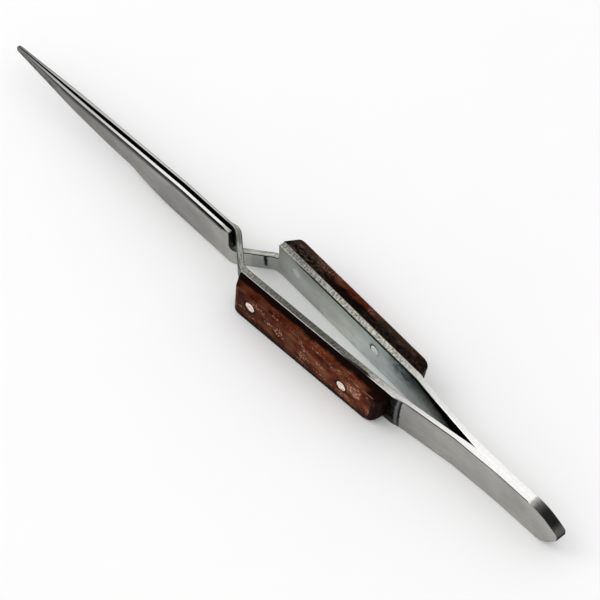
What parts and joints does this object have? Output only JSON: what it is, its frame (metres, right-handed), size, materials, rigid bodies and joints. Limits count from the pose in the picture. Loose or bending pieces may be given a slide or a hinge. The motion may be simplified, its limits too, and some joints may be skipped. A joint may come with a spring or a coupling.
{
  "type": "self-locking tweezers",
  "caption": "Cross-locking steel tweezers with fine straight tips, notched crossing necks and riveted wooden grips; squeezing the grips opens the tips.",
  "frame": {"origin": "under the middle of the tweezers, on the plane that the lower edges lie on", "axes": "+X from the tips to the heel, +Y across the two arms, +Z along the width of the strips"},
  "size_m": [0.165, 0.018, 0.0094],
  "materials": {
    "steel": "satin, ground edges",
    "grip_wood": "red-brown, varnished",
    "rivet_metal": "ground flush"
  },
  "bodies": {
    "root": {"arm_far": "steel", "arm_near": "steel", "grip_far": "grip_wood", "grip_near": "grip_wood", "rivet_far_front": "rivet_metal", "rivet_far_rear": "rivet_metal", "rivet_near_front": "rivet_metal", "rivet_near_rear": "rivet_metal"}
  },
  "joints": []
}
